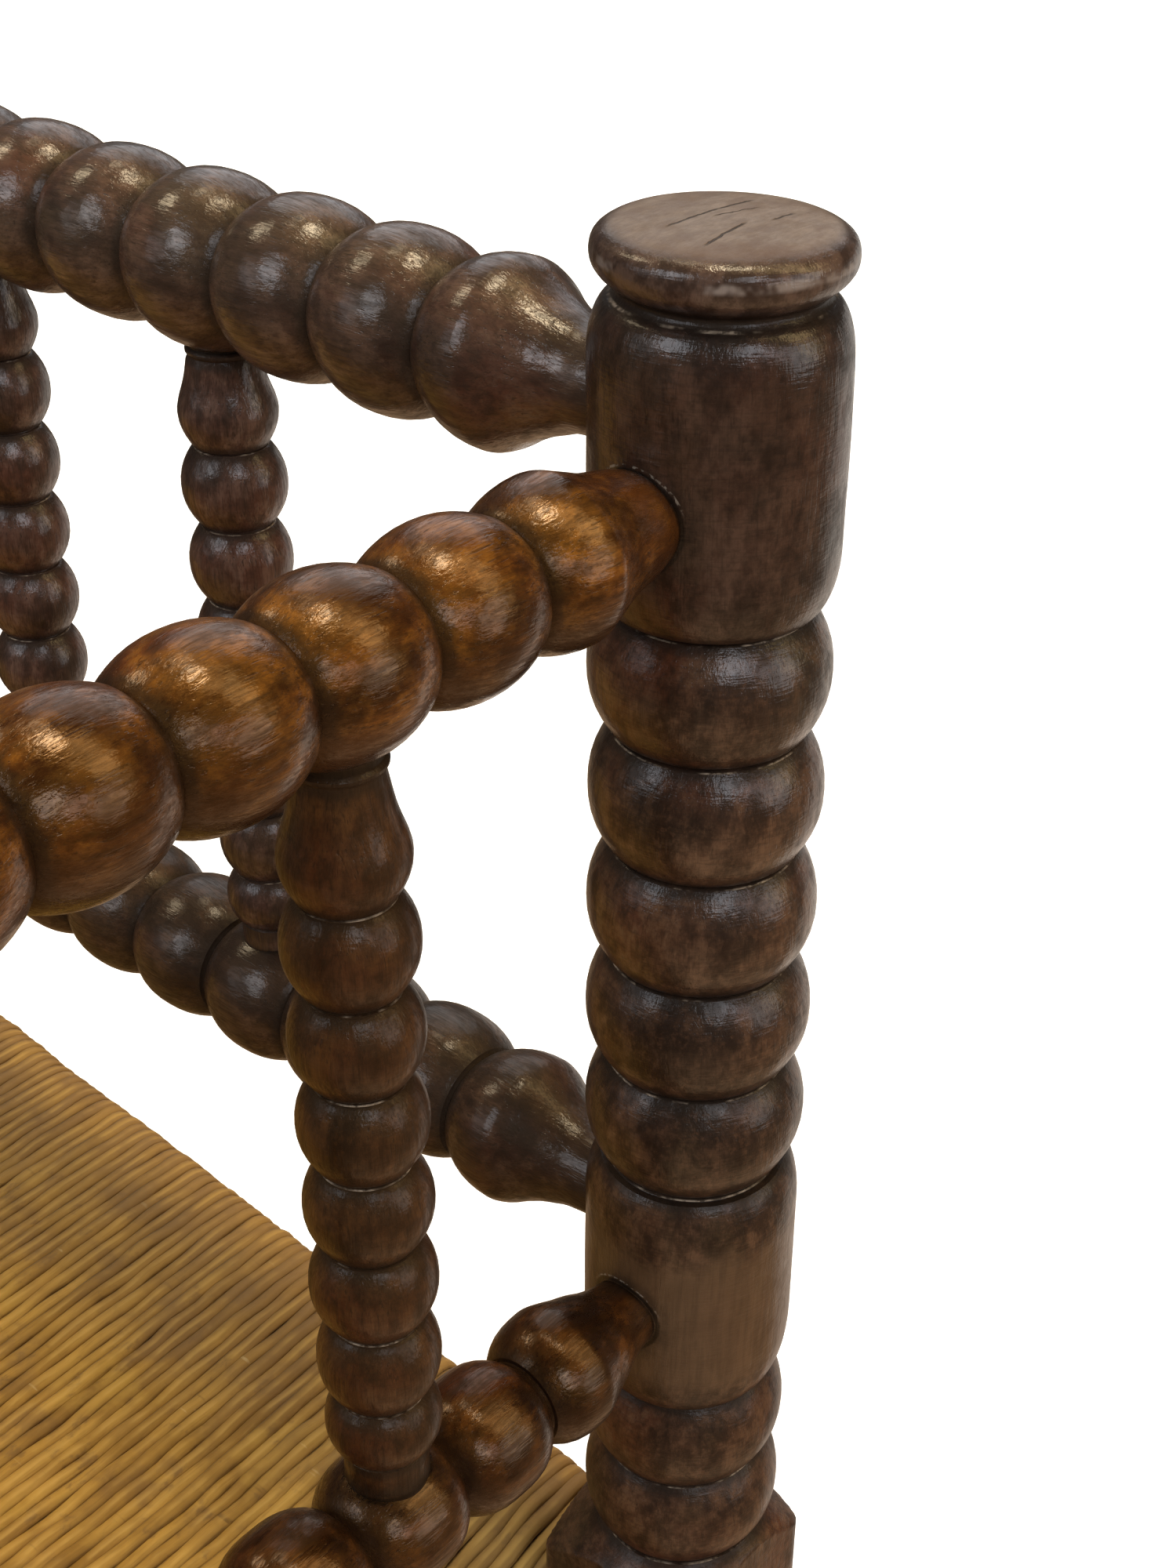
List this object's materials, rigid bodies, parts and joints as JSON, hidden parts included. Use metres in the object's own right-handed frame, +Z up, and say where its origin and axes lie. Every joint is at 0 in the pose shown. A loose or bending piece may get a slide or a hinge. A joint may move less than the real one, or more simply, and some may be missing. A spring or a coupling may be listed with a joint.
{
  "type": "bench",
  "caption": "Settle-type bench with a woven rush seat, bobbin-turned posts and beaded rails and spindles in its back and arms.",
  "frame": {"origin": "centre of the footprint, on the floor", "axes": "+X to the right along the length as seen from the front; +Y from the open front to the back; +Z up"},
  "size_m": [1.0696, 0.4622, 0.7785],
  "materials": {
    "post_wood": "dark brown stain under glossy old varnish",
    "back_rail_wood": "brown stain under glossy old varnish",
    "arm_rail_wood": "orange brown stain rubbed through on the beads, glossy old varnish",
    "spindle_wood": "brown stain under glossy old varnish",
    "stretcher_wood": "brown stain under worn varnish",
    "seat_frame_wood": "plain sawn wood",
    "rush": "hand-twisted dry rush, golden brown"
  },
  "bodies": {
    "root": {"post_back_left": "post_wood", "post_back_right": "post_wood", "post_front_left": "post_wood", "post_front_right": "post_wood", "back_top_rail": "back_rail_wood", "back_lower_rail": "back_rail_wood", "arm_top_rail_left": "arm_rail_wood", "arm_top_rail_right": "arm_rail_wood", "arm_lower_rail_left": "arm_rail_wood", "arm_lower_rail_right": "arm_rail_wood", "back_spindle_1": "spindle_wood", "back_spindle_2": "spindle_wood", "back_spindle_3": "spindle_wood", "back_spindle_4": "spindle_wood", "back_spindle_5": "spindle_wood", "back_spindle_6": "spindle_wood", "back_spindle_7": "spindle_wood", "back_spindle_8": "spindle_wood", "back_spindle_9": "spindle_wood", "arm_spindle_left_1": "spindle_wood", "arm_spindle_left_2": "spindle_wood", "arm_spindle_left_3": "spindle_wood", "arm_spindle_right_1": "spindle_wood", "arm_spindle_right_2": "spindle_wood", "arm_spindle_right_3": "spindle_wood", "seat_rail_front": "seat_frame_wood", "seat_rail_back": "seat_frame_wood", "seat_rail_left": "seat_frame_wood", "seat_rail_right": "seat_frame_wood", "rush_seat": "rush", "stretcher_front": "stretcher_wood", "stretcher_back": "stretcher_wood", "stretcher_left": "stretcher_wood", "stretcher_right": "stretcher_wood"}
  },
  "joints": []
}
